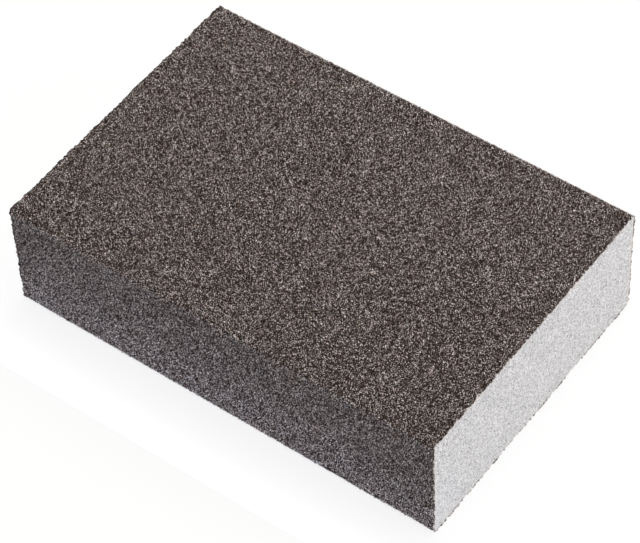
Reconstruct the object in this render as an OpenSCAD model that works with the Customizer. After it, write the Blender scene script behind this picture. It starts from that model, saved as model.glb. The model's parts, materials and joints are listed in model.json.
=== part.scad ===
// Sanding sponge: a block of fine-celled foam that carries bonded grit on its
// two broad faces and its two long sides. The two short ends are bare foam, as
// the knife left them.
//
// Millimetres. The origin is the middle of the resting face. +X runs along the
// length, towards a bare end, and +Z is up.

/* [Block] */
// Length from one cut end to the other
block_l = 100; // [60:1:150]
// Width across the long sides, over the grit
block_w = 67.5; // [40:0.5:100]
// Thickness from the resting face to the top face, over the grit
block_t = 27; // [12:0.5:50]

/* [Grit coat] */
// Thickness of the resin and grit together
coat_t = 0.4; // [0.3:0.05:1.5]
// Radius of the foam's own long edges, under the coat
foam_edge_r = 0.4; // [0.2:0.1:4]
// How far the cut rim of the stiff coat stands past the softer foam
rim_proud = 0.15; // [0:0.05:1]

/* [Hidden] */

// What the coat leaves for the foam
core_l = block_l - 2 * rim_proud;
core_w = block_w - 2 * coat_t;
core_t = block_t - 2 * coat_t;

// The coat keeps its thickness as it turns over a long edge
coat_edge_r = foam_edge_r + coat_t;

foam_grey = [0.82, 0.82, 0.83];
grit_brown = [0.33, 0.3, 0.28];

$fn = 48;

// Rectangle with rounded corners: centred across, standing on the line y = 0
module rounded_section(width, height, radius) {
    translate([radius - width / 2, 0])
        square([width - 2 * radius, height]);
    translate([-width / 2, radius])
        square([width, height - 2 * radius]);
    for (side = [-1, 1], y = [radius, height - radius])
        translate([side * (width / 2 - radius), y])
            circle(radius);
}

// The outline of the foam where it lies inside the coat
module foam_section() {
    translate([0, coat_t])
        rounded_section(core_w, core_t, foam_edge_r);
}

// The closed band that the coat makes round the foam, equally thick all round
module coat_section() {
    difference() {
        rounded_section(block_w, block_t, coat_edge_r);
        foam_section();
    }
}

// Runs a cross-section along X, as far on each side of the origin
module along_block(length) {
    rotate([90, 0, 90])
        linear_extrude(length, center = true)
            children();
}

// The sponge itself, cut square at both ends
module foam_core() {
    color(foam_grey)
        along_block(core_l)
            foam_section();
}

// The grit and its resin: a sleeve open at both ends, which the foam fills
module abrasive_coat() {
    color(grit_brown)
        along_block(block_l)
            coat_section();
}

foam_core();
abrasive_coat();
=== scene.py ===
"""Sanding sponge: the crystals of its grit, the resin that holds them and the cut foam inside.

Laid out as an add-on and run as a script. Lengths are in metres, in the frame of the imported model:
X runs along the block, Y across it, and Z is up from the bench.
"""

import json
import math

import bpy
import numpy as np
from bpy.props import FloatProperty, FloatVectorProperty, IntProperty, PointerProperty
from mathutils import Matrix, Vector, noise

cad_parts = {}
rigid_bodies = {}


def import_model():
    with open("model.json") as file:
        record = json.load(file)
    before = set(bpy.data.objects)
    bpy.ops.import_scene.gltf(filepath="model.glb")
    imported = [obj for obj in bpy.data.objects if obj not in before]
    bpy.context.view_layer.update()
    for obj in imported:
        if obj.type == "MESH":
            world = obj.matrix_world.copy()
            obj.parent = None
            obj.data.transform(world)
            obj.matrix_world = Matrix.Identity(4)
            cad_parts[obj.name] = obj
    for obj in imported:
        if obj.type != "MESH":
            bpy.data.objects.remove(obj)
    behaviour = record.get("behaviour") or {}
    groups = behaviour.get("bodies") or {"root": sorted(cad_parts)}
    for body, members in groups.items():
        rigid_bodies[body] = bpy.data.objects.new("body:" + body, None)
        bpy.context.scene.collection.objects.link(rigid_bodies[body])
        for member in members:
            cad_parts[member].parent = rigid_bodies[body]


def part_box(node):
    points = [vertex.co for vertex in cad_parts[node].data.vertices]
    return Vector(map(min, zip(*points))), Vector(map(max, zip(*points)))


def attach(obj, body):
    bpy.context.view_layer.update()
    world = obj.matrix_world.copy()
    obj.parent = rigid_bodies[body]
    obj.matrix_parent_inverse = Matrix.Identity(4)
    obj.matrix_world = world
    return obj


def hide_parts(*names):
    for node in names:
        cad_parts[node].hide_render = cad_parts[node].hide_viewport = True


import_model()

bl_info = {
    "name": "Sanding Sponge Finish",
    "version": (1, 0, 0),
    "blender": (4, 5, 0),
    "location": "3D View > Sidebar > Sanding Sponge",
    "description": "Covers the packed block with bonded grit and gives its ends cut foam",
    "category": "Object",
}

BODY = "root"
CORE, COAT = "foam_core", "abrasive_coat"
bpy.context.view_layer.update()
CORE_LOW, CORE_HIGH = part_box(CORE)
COAT_LOW, COAT_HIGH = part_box(COAT)
LENGTH = COAT_HIGH.x - COAT_LOW.x
WIDTH = COAT_HIGH.y - COAT_LOW.y
THICKNESS = COAT_HIGH.z - COAT_LOW.z
COAT_THICKNESS = CORE_LOW.z - COAT_LOW.z
MIDDLE = Vector((0.0, 0.0, THICKNESS / 2))
MAP_NAME = "OFBake"
MM = 0.001
WHITE = (1.0, 1.0, 1.0)

# The foam: the tint of its clouds, how deep the resin soaked in, and the least depth of a pore
CLOUD_TINT = (0.955, 0.955, 0.965)
SOAKED = 0.6 * MM
SHALLOWEST_PORE = 0.02 * MM
# The resin: the size of the lumps in its colour
LUMP_SIZE = 0.17 * MM
# The grit: a power that makes small grains the commoner ones
SMALL_GRAINS = 1.4
# What each random draw adds to the seed, and each piece of grit, so that no two are alike
DRAWS = {
    "pore": 0, "radius": 11, "stretch": 23, "shape": 31, "turn": 43, "tone": 59, "gloss": 67, "facet": 71}
PIECE_STEP = 100
# The floor and the low strip
FLOOR_WHITE = (0.9, 0.9, 0.9)
FLOOR_GLOW = 1.05
STRIP_HEIGHT = 2 * MM
# Points this close are one, and a draw up to a whole number stays this far under it
SAME_PLACE = 0.001 * MM
JUST_UNDER = 0.001
# The grid that nodes stand on
COLUMN_STEP, ROW_STEP = 220, 200


# ---------------------------------------------------------------- sizes and colours


class SPONGE_PG_grit(bpy.types.PropertyGroup):
    """The crystals"""

    spacing: FloatProperty(
        name="Spacing", description="Least distance between the middles of two grains",
        default=0.28 * MM, min=0.1 * MM, unit="LENGTH")
    density: FloatProperty(
        name="Density",
        description="Grains tried on each square metre, before the least distance thins them",
        default=50.0e6, min=1e5)
    smallest: FloatProperty(
        name="Smallest grain", description="Radius of the smallest grains",
        default=0.135 * MM, unit="LENGTH")
    largest: FloatProperty(
        name="Largest grain", description="Radius of the largest grains",
        default=0.235 * MM, unit="LENGTH")
    rise: FloatProperty(
        name="Rise",
        description="How far a grain's middle stands over the resin, as a share of its radius",
        default=0.4, soft_min=-0.5, soft_max=1.0)
    warm_tint: FloatVectorProperty(
        name="Warm tint", description="Tint of the warmer grains",
        default=(1.0, 0.93, 0.90), subtype="COLOR", size=3, min=0, max=1)
    cool_tint: FloatVectorProperty(
        name="Cool tint", description="Tint of the cooler grains",
        default=(0.92, 0.95, 0.98), subtype="COLOR", size=3, min=0, max=1)
    facets: FloatProperty(
        name="Facets", description="How much of a grain's tone changes from facet to facet",
        default=0.55, min=0, max=1, subtype="FACTOR")
    flaws: FloatProperty(
        name="Flaws", description="How much the tone changes inside a grain",
        default=2.4, min=0)
    shapes: IntProperty(
        name="Shapes", description="How many different crystals are repeated", default=9, min=1)
    seed: IntProperty(name="Seed", description="Starts the random draws", default=7)
    dark: FloatVectorProperty(
        name="Dark grain", description="Colour of the darkest grains",
        default=(0.014, 0.006, 0.0035), subtype="COLOR", size=3, min=0, max=1)
    brown: FloatVectorProperty(
        name="Brown grain", description="Colour of the browner grains",
        default=(0.131, 0.081, 0.059), subtype="COLOR", size=3, min=0, max=1)
    middle: FloatVectorProperty(
        name="Middle grain", description="Colour of most grains",
        default=(0.238, 0.165, 0.129), subtype="COLOR", size=3, min=0, max=1)
    pale: FloatVectorProperty(
        name="Pale grain", description="Colour of the paler grains",
        default=(0.44, 0.364, 0.323), subtype="COLOR", size=3, min=0, max=1)
    light: FloatVectorProperty(
        name="Light grain", description="Colour of the lightest grains",
        default=(0.94, 0.90, 0.892), subtype="COLOR", size=3, min=0, max=1)


class SPONGE_PG_resin(bpy.types.PropertyGroup):
    """The resin between the grains"""

    edge_radius: FloatProperty(
        name="Edge radius", description="Radius of the four long edges over the grit",
        default=0.8 * MM, unit="LENGTH")
    depth: FloatProperty(
        name="Depth", description="How far the resin lies below the tips of the grains",
        default=0.28 * MM, unit="LENGTH")
    swell: FloatProperty(
        name="Swell", description="How far the resin rises and falls over the foam",
        default=0.03 * MM, unit="LENGTH")
    lip: FloatProperty(
        name="Lip", description="Depth of the cut rims' outer edge below the tips of the grains",
        default=0.05 * MM, unit="LENGTH")
    torn: FloatProperty(
        name="Torn rim", description="How far the knife chipped the rims back",
        default=0.42 * MM, unit="LENGTH")
    colour: FloatVectorProperty(
        name="Resin", description="Colour of the resin",
        default=(0.023, 0.0095, 0.0055), subtype="COLOR", size=3, min=0, max=1)
    fines: FloatVectorProperty(
        name="Fine grit", description="Colour of the fine grit in the resin, between the grains",
        default=(0.2, 0.155, 0.132), subtype="COLOR", size=3, min=0, max=1)
    # Painted highlight: the pale colour given to the cut rims next to the foam
    cut_rim_highlight: FloatVectorProperty(
        name="Cut resin",
        description="Colour of the pale resin next to the foam, where the knife bared it",
        default=(0.70, 0.655, 0.625), subtype="COLOR", size=3, min=0, max=1)


class SPONGE_PG_foam(bpy.types.PropertyGroup):
    """The foam"""

    cell: FloatProperty(
        name="Cell", description="Distance between two cells of the foam",
        default=0.5 * MM, min=0.1 * MM, unit="LENGTH")
    stagger: FloatProperty(
        name="Irregularity", description="How far a cell strays from its place, as a share of a cell",
        default=0.3, min=0, max=0.45)
    pore_depth: FloatProperty(
        name="Pore depth", description="Depth of the deepest pores",
        default=0.45 * MM, unit="LENGTH")
    pore_rarity: FloatProperty(
        name="Rarity of deep pores", description="Power that makes deep pores rarer than shallow ones",
        default=2.0, min=1)
    edge_radius: FloatProperty(
        name="Edge radius", description="Radius of the foam's long edges, under the coat",
        default=0.4 * MM, unit="LENGTH")
    wave: FloatProperty(
        name="Knife wave", description="How far the cut ends stray from flat",
        default=0.06 * MM, unit="LENGTH")
    seed: IntProperty(name="Seed", description="Starts the random draws", default=3)
    colour: FloatVectorProperty(
        name="Foam", description="Colour of the foam",
        default=(0.775, 0.767, 0.772), subtype="COLOR", size=3, min=0, max=1)
    rim_colour: FloatVectorProperty(
        name="Soaked rim", description="Colour of the foam that the resin soaked, next to the coat",
        default=(0.80, 0.755, 0.73), subtype="COLOR", size=3, min=0, max=1)


class SPONGE_PG_studio(bpy.types.PropertyGroup):
    """The camera, lamps and floor"""

    azimuth: FloatProperty(
        name="Azimuth", description="Where the camera stands round the block",
        default=math.radians(38.60), subtype="ANGLE")
    elevation: FloatProperty(
        name="Elevation", description="How high the camera stands",
        default=math.radians(50.40), subtype="ANGLE")
    roll: FloatProperty(
        name="Roll", description="How far the camera leans over",
        default=math.radians(-3.10), subtype="ANGLE")
    distance: FloatProperty(
        name="Distance", description="From the block's middle to the camera",
        default=0.5785, unit="LENGTH")
    right: FloatProperty(
        name="Right", description="How far the camera is moved to its right",
        default=-0.53 * MM, unit="LENGTH")
    up: FloatProperty(
        name="Up", description="How far the camera is moved up in its view",
        default=-2.85 * MM, unit="LENGTH")
    lens: FloatProperty(name="Lens", description="Focal length in millimetres", default=166.5, min=1)
    room_light: FloatProperty(
        name="Room light", description="Level of the even light all round",
        default=0.365, min=0)
    room_colour: FloatVectorProperty(
        name="Room colour", description="Colour of the even light",
        default=(0.96, 0.99, 1.05), subtype="COLOR", size=3, min=0)
    front_azimuth: FloatProperty(
        name="Front azimuth", description="Where the front lamp stands",
        default=math.radians(-20), subtype="ANGLE")
    front_elevation: FloatProperty(
        name="Front elevation", description="How high the front lamp stands",
        default=math.radians(16), subtype="ANGLE")
    front_level: FloatProperty(
        name="Front level", description="Light the front lamp adds to what faces it",
        default=0.05, min=0)
    front_colour: FloatVectorProperty(
        name="Front colour", description="Colour of the front lamp",
        default=(0.80, 0.90, 1.26), subtype="COLOR", size=3, min=0)
    right_azimuth: FloatProperty(
        name="Right azimuth", description="Where the right lamp stands",
        default=math.radians(97), subtype="ANGLE")
    right_elevation: FloatProperty(
        name="Right elevation", description="How high the right lamp stands",
        default=math.radians(25), subtype="ANGLE")
    right_level: FloatProperty(
        name="Right level", description="Light the right lamp adds to what faces it",
        default=0.345, min=0)
    right_colour: FloatVectorProperty(
        name="Right colour", description="Colour of the right lamp",
        default=(1.0, 1.0, 1.0), subtype="COLOR", size=3, min=0)
    left_azimuth: FloatProperty(
        name="Left azimuth", description="Where the left lamp stands",
        default=math.radians(250), subtype="ANGLE")
    left_elevation: FloatProperty(
        name="Left elevation", description="How high the left lamp stands",
        default=math.radians(12), subtype="ANGLE")
    left_level: FloatProperty(
        name="Left level", description="Light the left lamp adds to what faces it",
        default=0.15, min=0)
    left_colour: FloatVectorProperty(
        name="Left colour", description="Colour of the left lamp",
        default=(1.0, 1.0, 1.0), subtype="COLOR", size=3, min=0)
    top_azimuth: FloatProperty(
        name="Top azimuth", description="Where the top lamp stands",
        default=math.radians(180), subtype="ANGLE")
    top_elevation: FloatProperty(
        name="Top elevation", description="How high the top lamp stands",
        default=math.radians(70), subtype="ANGLE")
    top_level: FloatProperty(
        name="Top level", description="Light the top lamp adds to what faces it",
        default=0.665, min=0)
    top_colour: FloatVectorProperty(
        name="Top colour", description="Colour of the top lamp",
        default=(1.09, 0.98, 0.855), subtype="COLOR", size=3, min=0)
    lamp_distance: FloatProperty(
        name="Lamp distance", description="From the block to each lamp", default=0.42, unit="LENGTH")
    lamp_size: FloatProperty(
        name="Lamp size", description="Side of each square lamp", default=0.35, unit="LENGTH")
    strip_level: FloatProperty(
        name="Strip level", description="Strength of the low strip in front of the near side",
        default=3.1, min=0)
    strip_colour: FloatVectorProperty(
        name="Strip colour", description="Colour of the low strip",
        default=(0.86, 0.91, 1.12), subtype="COLOR", size=3, min=0)
    strip_gap: FloatProperty(
        name="Strip gap", description="From the near side to the low strip",
        default=15 * MM, unit="LENGTH")
    floor_size: FloatProperty(
        name="Floor", description="Side of the square floor", default=4.0, unit="LENGTH")
    shadow: FloatProperty(
        name="Shadow", description="How much of the shadow the floor shows", default=0.2,
        min=0, max=1, subtype="FACTOR")


# ---------------------------------------------------------------- nodes and meshes


def feed(tree, node, inputs):
    """Joins or sets a node's inputs, each found by its name or its number."""
    for key, value in inputs.items():
        socket = node.inputs[key]
        if isinstance(value, bpy.types.NodeSocket):
            tree.links.new(value, socket)
        elif socket.type == "RGBA":
            socket.default_value = (*value, 1.0)
        else:
            socket.default_value = value


def add_node(tree, kind, column, row, inputs=None, **settings):
    """A new node at a place on a grid, with its settings and its inputs."""
    node = tree.nodes.new(kind)
    node.location = (column * COLUMN_STEP, -row * ROW_STEP)
    for name, value in settings.items():
        setattr(node, name, value)
    feed(tree, node, inputs or {})
    return node


def calculate(tree, operation, values, column, row):
    """One step of arithmetic on sockets or plain numbers."""
    inputs = dict(enumerate(values))
    node = add_node(tree, "ShaderNodeMath", column, row, inputs, operation=operation)
    return node.outputs["Value"]


def scaled_vector(tree, vector, scale, column, row):
    """A vector made longer or shorter."""
    inputs = {"Vector": vector, "Scale": scale}
    node = add_node(tree, "ShaderNodeVectorMath", column, row, inputs, operation="SCALE")
    return node.outputs["Vector"]


def scaled_range(tree, value, column, row, given, wanted):
    """Maps the range given to the range wanted, held at both ends."""
    names = ("Value", "From Min", "From Max", "To Min", "To Max")
    inputs = dict(zip(names, (value, *given, *wanted)))
    return add_node(tree, "ShaderNodeMapRange", column, row, inputs).outputs["Result"]


def mixed(tree, factor, first, second, column, row, data_type="RGBA", blend_type="MIX"):
    """Mixes two colours, or two numbers where data_type is FLOAT."""
    inputs = {"Factor": factor, "A": first, "B": second}
    node = add_node(
        tree, "ShaderNodeMix", column, row, inputs, data_type=data_type, blend_type=blend_type)
    return node.outputs["Result"]


def noise_texture(tree, place, column, row, size, detail=2.0):
    """Noise whose features are about this size."""
    inputs = {"Vector": place, "Scale": 1.0 / size, "Detail": detail}
    return add_node(tree, "ShaderNodeTexNoise", column, row, inputs).outputs["Fac"]


def colour_ramp(tree, factor, stops, column, row):
    """A ramp through (position, colour) stops."""
    ramp = add_node(tree, "ShaderNodeValToRGB", column, row, {"Fac": factor})
    elements = ramp.color_ramp.elements
    while len(elements) < len(stops):
        elements.new(0.5)
    for element, (position, colour) in zip(elements, stops):
        element.position = position
        element.color = (*colour, 1.0)
    return ramp.outputs["Color"]


def bump(tree, height, column, row, depth):
    """A bump as deep as this, for a shader's Normal."""
    inputs = {"Strength": 1.0, "Distance": depth, "Height": height}
    return add_node(tree, "ShaderNodeBump", column, row, inputs).outputs["Normal"]


def shaded(colour, share):
    """A colour made darker or lighter, and no lighter than white."""
    return [min(1.0, share * part) for part in colour]


def empty_tree(owner):
    """The node tree of a new material or world, with nothing in it."""
    owner.use_nodes = True
    owner.node_tree.nodes.clear()
    return owner.node_tree


def bare_material(name):
    """A new material, its tree, its Principled shader and its Object coordinates."""
    material = bpy.data.materials.new(name)
    tree = empty_tree(material)
    shader = add_node(tree, "ShaderNodeBsdfPrincipled", 7, 0)
    add_node(tree, "ShaderNodeOutputMaterial", 8, 0, {"Surface": shader.outputs["BSDF"]})
    place = add_node(tree, "ShaderNodeTexCoord", 0, 0).outputs["Object"]
    return material, tree, shader, place


def node_group(name, sizes):
    """A geometry node group with these sizes as its inputs, and its input node's sockets."""
    tree = bpy.data.node_groups.new(name, "GeometryNodeTree")
    add_socket = tree.interface.new_socket
    add_socket(name="Geometry", in_out="INPUT", socket_type="NodeSocketGeometry")
    for label, size in sizes.items():
        kind = "NodeSocketInt" if isinstance(size, int) else "NodeSocketFloat"
        add_socket(name=label, in_out="INPUT", socket_type=kind).default_value = size
    add_socket(name="Geometry", in_out="OUTPUT", socket_type="NodeSocketGeometry")
    return tree, add_node(tree, "NodeGroupInput", 0, 0).outputs


def end_group(tree, geometry, material, column):
    """Ends a node group, with all of its geometry in this material."""
    inputs = {"Geometry": geometry, "Material": material}
    dressed = add_node(tree, "GeometryNodeSetMaterial", column, 0, inputs)
    add_node(tree, "NodeGroupOutput", column + 1, 0, {"Geometry": dressed.outputs["Geometry"]})


def random_value(tree, seed, draw, column, row, low=0.0, high=1.0, data_type="FLOAT"):
    """A random number, or vector, for each element; draw names it in DRAWS."""
    own_seed = calculate(tree, "ADD", (seed, DRAWS[draw]), column - 1, row)
    inputs = {"Min": low, "Max": high, "Seed": own_seed}
    node = add_node(tree, "FunctionNodeRandomValue", column, row, inputs, data_type=data_type)
    return node.outputs["Value"]


def as_object(name, points, faces):
    """A mesh object in the scene, with its place in its mesh."""
    mesh = bpy.data.meshes.new(name)
    mesh.from_pydata([tuple(p) for p in points], [], faces)
    mesh.update()
    thing = bpy.data.objects.new(name, mesh)
    bpy.context.scene.collection.objects.link(thing)
    return thing


def shape_by_nodes(thing, tree, sizes):
    """Runs a node group on a thing, with these sizes, and leaves the result as its plain mesh."""
    modifier = thing.modifiers.new("Shape", "NODES")
    modifier.node_group = tree
    for item in tree.interface.items_tree:
        if item.item_type == "SOCKET" and item.in_out == "INPUT" and item.name in sizes:
            modifier[item.identifier] = sizes[item.name]
    graph = bpy.context.evaluated_depsgraph_get()
    made = bpy.data.meshes.new_from_object(thing.evaluated_get(graph), depsgraph=graph)
    thing.modifiers.remove(modifier)
    blank = thing.data
    thing.data = made
    bpy.data.meshes.remove(blank)
    made.name = thing.name
    # A slot that holds no material goes
    for slot in reversed(range(len(made.materials))):
        if made.materials[slot] is None:
            made.materials.pop(index=slot)
    if not len(made.polygons):
        raise RuntimeError(f"the node group made nothing of {thing.name}")


def corner_places(mesh):
    """The place of each face corner, and the face normal there."""
    places = np.empty(len(mesh.vertices) * 3)
    mesh.vertices.foreach_get("co", places)
    corners = np.empty(len(mesh.loops), dtype=np.int32)
    mesh.loops.foreach_get("vertex_index", corners)
    normals = np.empty(len(mesh.polygons) * 3)
    mesh.polygons.foreach_get("normal", normals)
    counts = np.empty(len(mesh.polygons), dtype=np.int32)
    mesh.polygons.foreach_get("loop_total", counts)
    return places.reshape(-1, 3)[corners], np.repeat(normals.reshape(-1, 3), counts, axis=0)


def set_map(mesh, across, along):
    """Gives a mesh its UV map."""
    layer = mesh.uv_layers.get(MAP_NAME) or mesh.uv_layers.new(name=MAP_NAME)
    flat = np.stack([across, along], axis=1).astype(np.float32).ravel()
    layer.uv.foreach_set("vector", flat)
    mesh.uv_layers.active = layer


def dress(piece, node):
    """Seats a finished piece: it rides with the block and stands for a node."""
    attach(piece, BODY)
    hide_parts(node)


# ---------------------------------------------------------------- the block's section


class Section:
    """The outline of the block across its length: a rectangle with rounded corners.

    A distance round it starts at the top face's near end and runs over the top, down the far side,
    back under the block and up the near side.
    """

    def __init__(self, radius):
        self.radius = radius
        across, low, high = WIDTH / 2 - radius, radius, THICKNESS - radius
        self.corners = np.array([(-across, high), (across, high), (across, low), (-across, low)])
        self.flats = np.array([2 * across, high - low, 2 * across, high - low])
        self.turn = math.pi / 2 * radius
        steps = np.stack([self.flats, np.full(4, self.turn)], axis=1).ravel()
        self.marks = np.concatenate([[0.0], np.cumsum(steps)])
        self.around = self.marks[-1]

    def span(self, side):
        """The distances where a side starts and ends, halfway round its two edges."""
        start = self.marks[2 * side] - self.turn / 2
        return start, start + self.flats[side] + self.turn

    def at(self, distance, inset):
        """Points this far round and this far inside the outline, across the block and up."""
        distance = np.mod(distance, self.around)
        last = len(self.marks) - 2
        stretch = np.clip(np.searchsorted(self.marks, distance, side="right") - 1, 0, last)
        past = distance - self.marks[stretch]
        side, turning = stretch // 2, stretch % 2 == 1
        start, end = self.corners[side], self.corners[(side + 1) % 4]
        share = np.where(turning, 1.0, past / self.flats[side])[:, None]
        angle = math.pi / 2 * (1 - side) - np.where(turning, past / self.radius, 0.0)
        facing = np.stack([np.cos(angle), np.sin(angle)], axis=1)
        reach = self.radius - np.broadcast_to(inset, distance.shape)
        return start + (end - start) * share + facing * reach[:, None]


def smooth_noise(points, size, offset):
    """Noise from about -1 to 1 at each point, with features of about this size."""
    shift = Vector((offset, -offset, 0.5 * offset))
    return np.array([noise.noise(Vector(p) / size + shift) for p in points])


# ---------------------------------------------------------------- foam


def foam_material(settings):
    """Fine-celled foam: pale grey, softly mottled, warmer and lighter where resin soaked in."""
    material, tree, shader, place = bare_material("Cut foam")
    mottle = noise_texture(tree, place, 1, 0, size=0.24 * MM)
    low, high = shaded(settings.colour, 0.4), shaded(settings.colour, 1.25)
    grey = colour_ramp(tree, mottle, [(0.3, low), (0.5, settings.colour), (0.7, high)], 2, 0)
    cloud = noise_texture(tree, place, 1, 1, size=5 * MM)
    drift = scaled_range(tree, cloud, 2, 1, given=(0.35, 0.65), wanted=(0.0, 1.0))
    grey = mixed(tree, drift, grey, CLOUD_TINT, 3, 0, blend_type="MULTIPLY")
    parts = add_node(tree, "ShaderNodeSeparateXYZ", 1, 2, {"Vector": place}).outputs
    height = calculate(tree, "SUBTRACT", (parts["Z"], THICKNESS / 2), 2, 3)
    reaches = []
    for row, (distance, half) in enumerate(((parts["Y"], WIDTH / 2), (height, THICKNESS / 2))):
        out = calculate(tree, "ABSOLUTE", (distance,), 3, 2 + row)
        reaches.append(calculate(tree, "SUBTRACT", (half, out), 4, 2 + row))
    nearest = calculate(tree, "MINIMUM", reaches, 5, 2)
    soaked = scaled_range(
        tree, nearest, 6, 2, given=(COAT_THICKNESS, COAT_THICKNESS + SOAKED), wanted=(0.95, 0.0))
    feed(tree, shader, {
        "Base Color": mixed(tree, soaked, grey, settings.rim_colour, 6, 0),
        "Roughness": scaled_range(tree, mottle, 4, 1, given=(0.3, 0.7), wanted=(0.82, 0.98)),
        "Normal": bump(tree, mottle, 6, 1, depth=0.05 * MM),
        "Specular IOR Level": 0.2,
    })
    return material


def foam_sheet(settings, random):
    """Staggered points and triangles over one cut end, as rows up the block, and its border's indices."""
    width, height = CORE_HIGH.y - CORE_LOW.y, CORE_HIGH.z - CORE_LOW.z
    columns = round(width / settings.cell)
    rows = round(height / (settings.cell * math.sqrt(3) / 2))
    column, row = np.meshgrid(np.arange(columns + 1), np.arange(rows + 1))
    inside = (column > 0) & (column < columns) & (row > 0) & (row < rows)
    shift = np.where(row % 2 == 0, 0.25, -0.25)
    stray = random.uniform(-settings.stagger, settings.stagger, (2, *column.shape))
    y = CORE_LOW.y + width * (column + inside * (shift + stray[0])) / columns
    z = CORE_LOW.z + height * (row + inside * stray[1]) / rows
    index = row * (columns + 1) + column
    triangles = []
    for i in range(rows):
        for j in range(columns):
            a, b, c, d = index[i, j], index[i, j + 1], index[i + 1, j + 1], index[i + 1, j]
            triangles += [(a, b, c), (a, c, d)] if i % 2 == 0 else [(a, b, d), (b, c, d)]
    border = np.concatenate([index[0, :-1], index[:-1, -1], index[-1, :0:-1], index[:0:-1, 0]])
    eased = (1 - math.sqrt(0.5)) * settings.edge_radius
    for i, j in ((0, 0), (0, -1), (-1, 0), (-1, -1)):
        y[i, j] += eased if j == 0 else -eased
        z[i, j] += eased if i == 0 else -eased
    return np.stack([y.ravel(), z.ravel()], axis=1), triangles, border


def foam_blank(settings, material):
    """The foam as a closed block whose two cut ends are sheets of triangles."""
    random = np.random.default_rng(settings.seed)
    points, faces, borders = [], [], []
    for x, outwards in ((CORE_LOW.x, False), (CORE_HIGH.x, True)):
        sheet, triangles, border = foam_sheet(settings, random)
        first = len(points)
        waves = smooth_noise([(x, *p) for p in sheet], size=9 * MM, offset=3.0) * settings.wave
        waves[border] = 0.0
        points += [(x + wave, *p) for wave, p in zip(waves, sheet)]
        faces += [tuple(first + i for i in (t if outwards else t[::-1])) for t in triangles]
        borders.append(first + border)
    ends = len(faces)
    rims = []
    for border in borders:
        corners = np.array([points[i] for i in border])
        rims.append(np.column_stack([border, len(points) + np.arange(len(border))]).ravel())
        points += list((corners + np.roll(corners, -1, axis=0)) / 2)
    left, right = rims
    for k in range(len(left)):
        n = (k + 1) % len(left)
        faces.append((left[k], left[n], right[n], right[k]))
    block = as_object("foam_block", points, faces)
    block.data.materials.append(material)
    cut = block.data.attributes.new("cut_end", "BOOLEAN", "FACE")
    cut.data.foreach_set("value", np.arange(len(faces)) < ends)
    return block


def foam_tree(material, sizes):
    """Turns the cut ends' triangles into many-sided cells, each with a pore in its middle."""
    tree, given = node_group("Foam cells", sizes)
    cut = add_node(
        tree, "GeometryNodeInputNamedAttribute", 0, 2, {"Name": "cut_end"}, data_type="BOOLEAN")
    ends = add_node(
        tree, "GeometryNodeSeparateGeometry", 1, 0,
        {"Geometry": given["Geometry"], "Selection": cut.outputs["Attribute"]}, domain="FACE")
    cells = add_node(
        tree, "GeometryNodeDualMesh", 2, 0,
        {"Mesh": ends.outputs["Selection"], "Keep Boundaries": True})
    draw = random_value(tree, given["Seed"], "pore", 2, 2)
    share = calculate(tree, "POWER", (draw, given["Rarity"]), 3, 2)
    depth = calculate(tree, "MULTIPLY", (share, given["Pore Depth"]), 4, 2)
    pores = add_node(
        tree, "GeometryNodeExtrudeMesh", 6, 0, {
            "Mesh": cells.outputs["Dual Mesh"], "Individual": True,
            "Offset Scale": calculate(tree, "MULTIPLY_ADD", (depth, -1.0, -SHALLOWEST_PORE), 5, 2)},
        mode="FACES")
    pointed = add_node(
        tree, "GeometryNodeScaleElements", 7, 0,
        {"Geometry": pores.outputs["Mesh"], "Selection": pores.outputs["Top"], "Scale": 0.0},
        domain="FACE")
    joined = add_node(tree, "GeometryNodeJoinGeometry", 8, 0)
    for part in (pointed.outputs["Geometry"], ends.outputs["Inverted"]):
        feed(tree, joined, {"Geometry": part})
    closed = add_node(
        tree, "GeometryNodeMergeByDistance", 9, 0,
        {"Geometry": joined.outputs["Geometry"], "Distance": SAME_PLACE})
    whole = add_node(
        tree, "GeometryNodeRealizeInstances", 10, 0, {"Geometry": closed.outputs["Geometry"]})
    end_group(tree, whole.outputs["Geometry"], material, 11)
    return tree


def map_foam(mesh):
    """Lays the two cut ends apart on the map, one over the other, and the hidden sides over both."""
    second_end, first_side, side_step, least_facing = 0.45, 0.9, 0.05, 0.2
    places, facing = corner_places(mesh)
    x, y, z = places.T
    cut = np.abs(facing[:, 0]) > least_facing
    on_end = z / WIDTH + second_end * (x > 0)
    on_side = first_side + side_step * (z / WIDTH + (y > 0))
    across = np.where(cut, (y - CORE_LOW.y) / WIDTH, x / LENGTH + 0.5)
    set_map(mesh, across, np.where(cut, on_end, on_side))


class SPONGE_OT_foam(bpy.types.Operator):
    """Makes the foam block with its two cut ends"""

    bl_idname = "sponge.foam"
    bl_label = "Foam Block"

    def execute(self, context):
        settings = context.scene.sponge_foam
        material = foam_material(settings)
        block = foam_blank(settings, material)
        sizes = {
            "Pore Depth": settings.pore_depth, "Rarity": settings.pore_rarity, "Seed": settings.seed}
        shape_by_nodes(block, foam_tree(material, sizes), sizes)
        map_foam(block.data)
        dress(block, CORE)
        return {"FINISHED"}


# ---------------------------------------------------------------- resin


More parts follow.
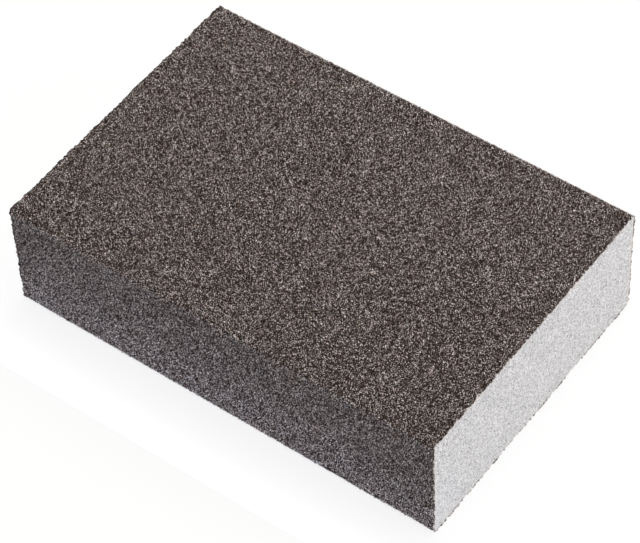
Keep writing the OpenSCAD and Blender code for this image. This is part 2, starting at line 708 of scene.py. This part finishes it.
def resin_material(settings):
    """Dark, uneven resin with fine grit in it, between the grains."""
    material, tree, shader, place = bare_material("Resin")
    lumps = add_node(
        tree, "ShaderNodeTexVoronoi", 1, 0, {"Vector": place, "Scale": 1.0 / LUMP_SIZE}).outputs
    dust = noise_texture(tree, place, 1, 1, size=0.12 * MM, detail=3.0)
    height = calculate(tree, "SUBTRACT", (dust, lumps["Distance"]), 2, 0)
    shade = calculate(tree, "MULTIPLY_ADD", (lumps["Color"], 0.6, height), 3, 0)
    stops = [(0.45, shaded(settings.colour, 0.45)), (0.61, settings.colour), (0.71, settings.fines)]
    feed(tree, shader, {
        "Base Color": colour_ramp(tree, shade, stops, 4, 0),
        "Roughness": scaled_range(tree, dust, 4, 1, given=(0.3, 0.7), wanted=(0.45, 0.8)),
        "Normal": bump(tree, height, 5, 1, depth=0.1 * MM),
        "Specular IOR Level": 0.15,
    })
    return material


def cut_rim_highlight_material(settings):
    """The cut rims of the coat: a pale colour, which paints a highlight along them, broken by dark
    patches.
    """
    material, tree, shader, place = bare_material("Cut resin")
    patches = noise_texture(tree, place, 1, 0, size=0.6 * MM, detail=3.0)
    dark, half = shaded(settings.colour, 1.5), shaded(settings.cut_rim_highlight, 0.6)
    # The pale stops paint a highlight along the cut rims; the darkest stop gives the dark patches
    stops = [(0.455, dark), (0.485, half), (0.56, settings.cut_rim_highlight)]
    feed(tree, shader, {
        "Base Color": colour_ramp(tree, patches, stops, 2, 0),
        "Normal": bump(tree, patches, 4, 1, depth=0.1 * MM),
        "Roughness": 0.8,
        "Specular IOR Level": 0.15,
    })
    return material


def resin_inset(spots, settings):
    """How deep the resin's skin lies at each spot."""
    return settings.depth - settings.swell * smooth_noise(spots, size=7 * MM, offset=1.0)


def set_back(outline, end, settings):
    """How far the knife chipped the rim back at each point round it; end is -1 or 1."""
    spots = [(end * LENGTH, *p) for p in outline]
    broad = smooth_noise(spots, size=2 * MM, offset=5.0)
    fine = smooth_noise(spots, size=0.55 * MM, offset=9.0)
    return settings.torn * np.clip(0.4 + 0.8 * broad + 1.2 * fine, 0.0, 1.0)


def resin_mesh(settings):
    """The resin as a closed sleeve: its outer skin, its inner skin and two chipped rims."""
    step, lip_width = 0.3 * MM, 0.12 * MM
    middles = np.array([0.98, 0.95, 0.8, 0.4]) * LENGTH / 2
    section = Section(settings.edge_radius)
    count = round(section.around / step)
    round_block = np.arange(count) * section.around / count
    lining = section.at(round_block, COAT_THICKNESS)
    lip = section.at(round_block, settings.lip)
    skin = section.at(round_block, settings.depth)
    rims = {end: LENGTH / 2 - set_back(skin, end, settings) for end in (-1, 1)}
    rings = []
    for end in (-1, 1):
        half = [np.column_stack([end * rims[end], lip])]
        for x in (rims[end] - lip_width, *middles):
            spots = np.column_stack([np.broadcast_to(end * x, count), skin])
            inset = resin_inset(spots, settings)
            half.append(np.column_stack([spots[:, 0], section.at(round_block, inset)]))
        rings += half[::-end]
    for x in (CORE_HIGH.x, CORE_LOW.x):
        rings.append(np.column_stack([np.full(count, x), lining]))
    cut_rims = (len(rings) - 3, len(rings) - 1)
    faces, kinds = [], []
    for ring in range(len(rings)):
        after = (ring + 1) % len(rings)
        for k in range(count):
            n = (k + 1) % count
            faces.append((ring * count + k, after * count + k, after * count + n, ring * count + n))
            kinds.append(int(ring in cut_rims))
    sleeve = as_object("resin_coat", np.concatenate(rings), faces)
    sleeve.data.polygons.foreach_set("material_index", kinds)
    rounds = np.linspace(0, 1, count + 1)
    steps = np.linspace(0, 1, len(rings) + 1)
    across = np.stack([rounds[:-1], rounds[:-1], rounds[1:], rounds[1:]], axis=1)
    along = np.stack([steps[:-1], steps[1:], steps[1:], steps[:-1]], axis=1)
    set_map(
        sleeve.data, np.tile(across, (len(rings), 1)).ravel(), np.repeat(along, count, axis=0).ravel())
    return sleeve


class SPONGE_OT_resin(bpy.types.Operator):
    """Makes the resin sleeve round the foam"""

    bl_idname = "sponge.resin"
    bl_label = "Resin Coat"

    def execute(self, context):
        settings = context.scene.sponge_resin
        sleeve = resin_mesh(settings)
        sleeve.data.materials.append(resin_material(settings))
        sleeve.data.materials.append(cut_rim_highlight_material(settings))
        dress(sleeve, COAT)
        return {"FINISHED"}


# ---------------------------------------------------------------- grit


def grit_material(settings):
    """Crystals from dark brown to pale grey, some of them glossy."""
    material, tree, shader, place = bare_material("Grit")
    tone, facet, gloss = (
        add_node(tree, "ShaderNodeAttribute", 0, row, attribute_name=name).outputs["Fac"]
        for row, name in enumerate(("tone", "facet", "gloss"), start=1))
    tone = mixed(tree, settings.facets, tone, facet, 1, 1, data_type="FLOAT")
    flaw = noise_texture(tree, place, 1, 0, size=0.15 * MM)
    shade = calculate(tree, "MULTIPLY_ADD", (flaw, settings.flaws, tone), 2, 0)
    shade = calculate(tree, "SUBTRACT", (shade, settings.flaws / 2), 3, 0)
    stops = [
        (0.3, settings.dark), (0.41, settings.brown), (0.49, settings.middle),
        (0.58, settings.pale), (0.66, settings.light)]
    body = colour_ramp(tree, shade, stops, 4, 0)
    cloud = noise_texture(tree, place, 1, 4, size=2.5 * MM)
    hue = mixed(tree, 0.5, cloud, gloss, 2, 3, data_type="FLOAT")
    tint = colour_ramp(tree, hue, [(0.25, settings.cool_tint), (0.75, settings.warm_tint)], 4, 3)
    feed(tree, shader, {
        "Base Color": mixed(tree, 1.0, body, tint, 5, 0, blend_type="MULTIPLY"),
        "Roughness": scaled_range(tree, gloss, 4, 1, given=(0.0, 1.0), wanted=(0.75, 0.22)),
        "Normal": bump(tree, flaw, 5, 1, depth=0.05 * MM),
        "Specular IOR Level": 0.3,
    })
    return material


def crystal_shapes(settings, material):
    """A collection of angular grains of about unit radius: two uneven pyramids base to base."""
    shapes = bpy.data.collections.new("Grain shapes")
    random = np.random.default_rng(settings.seed)
    for number in range(settings.shapes):
        turns = np.radians([0, 120, 240]) + random.uniform(-0.45, 0.45, 3)
        reach = random.uniform(0.75, 1.1, 3)
        lean = random.uniform(-0.35, 0.35, (2, 2))
        waist = random.uniform(-0.3, 0.3, 3)
        tips = random.uniform(0.6, 1.15, 2) * (1, -1)
        points = np.concatenate([
            np.column_stack([reach * np.cos(turns), reach * np.sin(turns), waist]),
            np.column_stack([lean, tips])])
        faces = [(0, 1, 3), (1, 2, 3), (2, 0, 3), (1, 0, 4), (2, 1, 4), (0, 2, 4)]
        mesh = bpy.data.meshes.new(f"grain_{number}")
        mesh.from_pydata([tuple(p) for p in points], [], faces)
        mesh.materials.append(material)
        shapes.objects.link(bpy.data.objects.new(mesh.name, mesh))
    return shapes


def named_value(tree, geometry, name, value, column, row, domain="INSTANCE"):
    """Stores a number for each grain, or each of its facets, for the material."""
    inputs = {"Geometry": geometry, "Name": name, "Value": value}
    node = add_node(
        tree, "GeometryNodeStoreNamedAttribute", column, row, inputs, data_type="FLOAT", domain=domain)
    return node.outputs["Geometry"]


def grit_tree(shapes, material, sizes):
    """Scatters crystals over a face of the coat, each turned its own way and sunk in the resin."""
    tree, given = node_group("Bonded grit", sizes)
    seed = given["Seed"]
    spots = add_node(
        tree, "GeometryNodeDistributePointsOnFaces", 2, 0, {
            "Mesh": given["Geometry"], "Distance Min": given["Spacing"],
            "Density Max": given["Density"], "Seed": seed},
        distribute_method="POISSON")
    draw = random_value(tree, seed, "radius", 2, 2)
    skewed = calculate(tree, "POWER", (draw, SMALL_GRAINS), 3, 2)
    radius = scaled_range(
        tree, skewed, 4, 2, given=(0.0, 1.0), wanted=(given["Smallest"], given["Largest"]))
    lift = calculate(tree, "MULTIPLY", (radius, given["Rise"]), 5, 3)
    seated = add_node(
        tree, "GeometryNodeSetPosition", 7, 0, {
            "Geometry": spots.outputs["Points"],
            "Offset": scaled_vector(tree, spots.outputs["Normal"], lift, 6, 3)})
    kinds = add_node(
        tree, "GeometryNodeCollectionInfo", 7, 1, {"Collection": shapes, "Separate Children": True})
    uneven = random_value(
        tree, seed, "stretch", 6, 4, low=(0.8,) * 3, high=(1.2,) * 3, data_type="FLOAT_VECTOR")
    turned = random_value(
        tree, seed, "turn", 7, 6, low=(0.0,) * 3, high=(2 * math.pi,) * 3, data_type="FLOAT_VECTOR")
    picked = random_value(tree, seed, "shape", 6, 5, high=len(shapes.objects) - JUST_UNDER)
    grains = add_node(
        tree, "GeometryNodeInstanceOnPoints", 8, 0, {
            "Points": seated.outputs["Geometry"], "Instance": kinds.outputs["Instances"],
            "Pick Instance": True, "Instance Index": calculate(tree, "FLOOR", (picked,), 7, 5),
            "Rotation": turned, "Scale": scaled_vector(tree, uneven, radius, 7, 4)})
    toned = named_value(
        tree, grains.outputs["Instances"], "tone", random_value(tree, seed, "tone", 9, 2), 9, 0)
    glossy = named_value(tree, toned, "gloss", random_value(tree, seed, "gloss", 10, 3), 10, 0)
    whole = add_node(tree, "GeometryNodeRealizeInstances", 11, 0, {"Geometry": glossy})
    facet = random_value(tree, seed, "facet", 11, 4)
    index = add_node(tree, "GeometryNodeInputIndex", 10, 5)
    feed(tree, facet.node, {"ID": index.outputs["Index"]})
    faceted = named_value(tree, whole.outputs["Geometry"], "facet", facet, 12, 0, domain="FACE")
    end_group(tree, faceted, material, 13)
    return tree


def coated_patch(name, section, side, low_x, high_x, resin):
    """The stretch of resin skin that one piece of grit is scattered over."""
    turn_points, flat_points, row_count = 4, 160, 24
    start, end = section.span(side)
    half_turn = section.turn / 2
    bend = np.linspace(0, half_turn, turn_points)
    flat = np.linspace(half_turn, end - start - half_turn, flat_points)
    distances = start + np.unique(np.concatenate([bend, flat, end - start - bend[::-1]]).round(9))
    skin = section.at(distances, resin.depth)
    points = []
    for x in np.linspace(low_x, high_x, row_count):
        places = np.full(len(distances), x)
        if abs(x) > LENGTH / 2 - 0.01 * MM:
            places -= np.sign(x) * set_back(skin, np.sign(x), resin)
        inset = resin_inset(np.column_stack([places, skin]), resin)
        points += list(np.column_stack([places, section.at(distances, inset)]))
    count = len(distances)
    faces = [
        (i * count + k, (i + 1) * count + k, (i + 1) * count + k + 1, i * count + k + 1)
        for i in range(row_count - 1) for k in range(count - 1)]
    return as_object(name, points, faces)


def map_grit(mesh, side):
    """Lays the grains out as they lie on the face, seen square on."""
    margin = 0.002
    places, _ = corner_places(mesh)
    flat = places[:, (0, 1) if side in (0, 2) else (0, 2)]
    flat = (flat - flat.min(axis=0)) / np.ptp(flat, axis=0)
    set_map(mesh, *(margin + (1 - 2 * margin) * flat.T))


class SPONGE_OT_grit(bpy.types.Operator):
    """Scatters the grit over the four coated faces"""

    bl_idname = "sponge.grit"
    bl_label = "Bonded Grit"

    def execute(self, context):
        settings, resin = context.scene.sponge_grit, context.scene.sponge_resin
        section = Section(resin.edge_radius)
        material = grit_material(settings)
        shapes = crystal_shapes(settings, material)
        sizes = {
            "Spacing": settings.spacing, "Density": settings.density, "Smallest": settings.smallest,
            "Largest": settings.largest, "Rise": settings.rise, "Seed": settings.seed}
        tree = grit_tree(shapes, material, sizes)
        half = LENGTH / 2
        patches = (
            ("grit_top_left", 0, -half, 0.0), ("grit_top_right", 0, 0.0, half),
            ("grit_far_side", 1, -half, half),
            ("grit_bottom_left", 2, -half, 0.0), ("grit_bottom_right", 2, 0.0, half),
            ("grit_near_side", 3, -half, half),
        )
        for number, (name, side, low_x, high_x) in enumerate(patches):
            piece = coated_patch(name, section, side, low_x, high_x, resin)
            shape_by_nodes(piece, tree, sizes | {"Seed": settings.seed + PIECE_STEP * number})
            map_grit(piece.data, side)
            dress(piece, COAT)
        for shape in list(shapes.objects):
            bpy.data.objects.remove(shape)
        bpy.data.collections.remove(shapes)
        return {"FINISHED"}


# ---------------------------------------------------------------- studio


def standing_at(azimuth, elevation):
    """The direction from the block to something this far round and this high."""
    return Vector((
        math.sin(azimuth) * math.cos(elevation),
        -math.cos(azimuth) * math.cos(elevation),
        math.sin(elevation)))


def point_camera(settings):
    """Stands the camera round the block and leans it over."""
    azimuth, roll = settings.azimuth, settings.roll
    back = standing_at(azimuth, settings.elevation)
    level = Vector((math.cos(azimuth), math.sin(azimuth), 0.0))
    upright = back.cross(level)
    right = math.cos(roll) * level + math.sin(roll) * upright
    up = math.cos(roll) * upright - math.sin(roll) * level
    place = MIDDLE + back * settings.distance + right * settings.right + up * settings.up
    data = bpy.data.cameras.new("Camera")
    data.lens = settings.lens
    data.sensor_width = 36.0
    data.clip_start, data.clip_end = 0.01, 10.0
    camera = bpy.data.objects.new("Camera", data)
    turn = Matrix((right, up, back)).transposed().to_4x4()
    camera.matrix_world = Matrix.Translation(place) @ turn
    bpy.context.scene.collection.objects.link(camera)
    bpy.context.scene.camera = camera


def soft_box(name, place, aim, size, level, colour):
    """A flat lamp that is not seen; it adds this level of light to what faces it at aim."""
    data = bpy.data.lights.new(name, "AREA")
    data.shape = "RECTANGLE"
    data.size, data.size_y = size
    data.energy = level * (math.pi * (place - aim).length) ** 2
    data.color = colour
    lamp = bpy.data.objects.new(name, data)
    lamp.location = place
    lamp.rotation_mode = "QUATERNION"
    lamp.rotation_quaternion = (aim - place).to_track_quat("-Z", "Y")
    lamp.visible_camera = False
    bpy.context.scene.collection.objects.link(lamp)


def seen_directly(tree):
    """1 for rays from the camera, a mirror or a pane, and 0 for rays that carry light to a surface."""
    path = add_node(tree, "ShaderNodeLightPath", 0, 0).outputs
    either = calculate(tree, "MAXIMUM", (path["Is Camera Ray"], path["Is Glossy Ray"]), 1, 0)
    return calculate(tree, "MAXIMUM", (either, path["Is Transmission Ray"]), 2, 0)


def end_in_mix(tree, output_kind, share, first, second):
    """Ends a tree in a mix of the shaders of two nodes."""
    inputs = {"Fac": share, 1: first.outputs[0], 2: second.outputs[0]}
    mix = add_node(tree, "ShaderNodeMixShader", 5, 0, inputs)
    add_node(tree, output_kind, 6, 0, {"Surface": mix.outputs["Shader"]})


def light_room(settings):
    """An even light all round, which is seen as plain white."""
    world = bpy.data.worlds.new("Room")
    tree = empty_tree(world)
    even = add_node(
        tree, "ShaderNodeBackground", 4, 0,
        {"Color": settings.room_colour, "Strength": settings.room_light})
    white = add_node(tree, "ShaderNodeBackground", 4, 1, {"Color": WHITE, "Strength": 1.0})
    end_in_mix(tree, "ShaderNodeOutputWorld", seen_directly(tree), even, white)
    bpy.context.scene.world = world


def floor_material(settings):
    """A white floor that shows part of the block's shadow."""
    material = bpy.data.materials.new("White floor")
    tree = empty_tree(material)
    matte = add_node(tree, "ShaderNodeBsdfDiffuse", 4, 0, {"Color": FLOOR_WHITE})
    glow = add_node(tree, "ShaderNodeEmission", 4, 1, {"Color": WHITE, "Strength": FLOOR_GLOW})
    share = calculate(tree, "MULTIPLY", (seen_directly(tree), 1.0 - settings.shadow), 3, 0)
    end_in_mix(tree, "ShaderNodeOutputMaterial", share, matte, glow)
    return material


class SPONGE_OT_studio(bpy.types.Operator):
    """Sets up the camera, the lamps and the floor"""

    bl_idname = "sponge.studio"
    bl_label = "Studio"

    def execute(self, context):
        settings = context.scene.sponge_studio
        point_camera(settings)
        light_room(settings)
        half = settings.floor_size / 2
        corners = [(-half, -half, 0), (half, -half, 0), (half, half, 0), (-half, half, 0)]
        floor = as_object("floor", corners, [(0, 1, 2, 3)])
        floor.data.materials.append(floor_material(settings))
        for side in ("front", "right", "left", "top"):
            azimuth, elevation, level, colour = (
                getattr(settings, f"{side}_{what}")
                for what in ("azimuth", "elevation", "level", "colour"))
            place = MIDDLE + standing_at(azimuth, elevation) * settings.lamp_distance
            size = (settings.lamp_size, settings.lamp_size)
            soft_box(f"{side.title()} lamp", place, MIDDLE, size, level, colour)
        foot = Vector((0.0, COAT_LOW.y, 0.0))
        strip = foot + Vector((0.0, -settings.strip_gap, STRIP_HEIGHT))
        size = (1.3 * LENGTH, 0.5 * settings.strip_gap)
        soft_box("Low strip", strip, foot, size, settings.strip_level, settings.strip_colour)
        context.scene.view_settings.view_transform = "Standard"
        return {"FINISHED"}


# ---------------------------------------------------------------- panel and start


class SPONGE_PT_panel(bpy.types.Panel):
    """The steps that finish the sponge"""

    bl_idname = "SPONGE_PT_panel"
    bl_label = "Sanding Sponge"
    bl_space_type = "VIEW_3D"
    bl_region_type = "UI"
    bl_category = "Sanding Sponge"

    def draw(self, context):
        for operator in OPERATORS:
            self.layout.operator(operator.bl_idname)


GROUPS = {
    "sponge_grit": SPONGE_PG_grit,
    "sponge_resin": SPONGE_PG_resin,
    "sponge_foam": SPONGE_PG_foam,
    "sponge_studio": SPONGE_PG_studio,
}
OPERATORS = (SPONGE_OT_foam, SPONGE_OT_resin, SPONGE_OT_grit, SPONGE_OT_studio)
CLASSES = (*GROUPS.values(), *OPERATORS, SPONGE_PT_panel)


def register():
    """Adds the classes and their settings to Blender."""
    for kind in CLASSES:
        bpy.utils.register_class(kind)
    for name, kind in GROUPS.items():
        setattr(bpy.types.Scene, name, PointerProperty(type=kind))


def unregister():
    """Takes them out again."""
    for name in GROUPS:
        delattr(bpy.types.Scene, name)
    for kind in reversed(CLASSES):
        bpy.utils.unregister_class(kind)


def main():
    """Finishes the sponge, step by step."""
    register()
    bpy.ops.sponge.foam()
    bpy.ops.sponge.resin()
    bpy.ops.sponge.grit()
    bpy.ops.sponge.studio()


if __name__ == "__main__":
    main()
